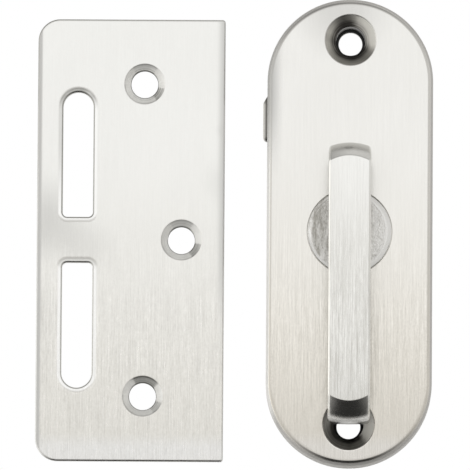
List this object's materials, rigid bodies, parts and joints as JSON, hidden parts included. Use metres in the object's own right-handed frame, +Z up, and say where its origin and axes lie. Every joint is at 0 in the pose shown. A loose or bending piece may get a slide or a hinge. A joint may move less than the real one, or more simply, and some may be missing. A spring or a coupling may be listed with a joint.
{
  "type": "sliding door claw lock",
  "caption": "Surface-mounted sliding door lock in brushed stainless steel: a pill-shaped case whose bow handle turns a swinging claw, with a flat slotted strike plate beside it.",
  "frame": {"origin": "on the spindle's axis, halfway between the lock's two mounting holes, on the door face that the case's back lies on", "axes": "+Z up along the case's length, +Y back into the door, +X to the right seen from the front"},
  "size_m": [0.107, 0.032, 0.1264],
  "materials": {
    "brushed_stainless": "fine straight vertical brushing, satin",
    "cast_stainless": "fine-grained as-cast face with a turned rim",
    "claw_steel": "ground stainless steel, smooth edges",
    "plated_steel": "zinc plated sheet steel, satin",
    "screw_steel": "zinc plated, smooth",
    "machined_steel": "turned and milled steel",
    "spring_steel": "blue-grey tempered spring steel",
    "nylon": "natural nylon, matt"
  },
  "bodies": {
    "lock_and_strike": {"case_shell": "brushed_stainless", "base_plate": "plated_steel", "base_screw_upper_left": "screw_steel", "base_screw_upper_right": "screw_steel", "base_screw_lower_left": "screw_steel", "base_screw_lower_right": "screw_steel", "spindle_bush": "nylon", "detent_leaf_spring": "spring_steel", "strike_plate": "brushed_stainless"},
    "handle_and_claw": {"grip_bar": "brushed_stainless", "rose_disc": "cast_stainless", "spindle": "machined_steel", "stem_pin": "machined_steel", "claw": "claw_steel", "disc_spring": "spring_steel", "flat_washer": "plated_steel", "spring_washer": "spring_steel", "claw_screw": "screw_steel"}
  },
  "joints": [
    {"name": "handle_turn", "type": "hinge", "parent": "lock_and_strike", "child": "handle_and_claw", "pos_m": [0, 0, 0], "axis": [0, -1, 0], "range_deg": [0, 90], "deforming": ["detent_leaf_spring"]}
  ]
}
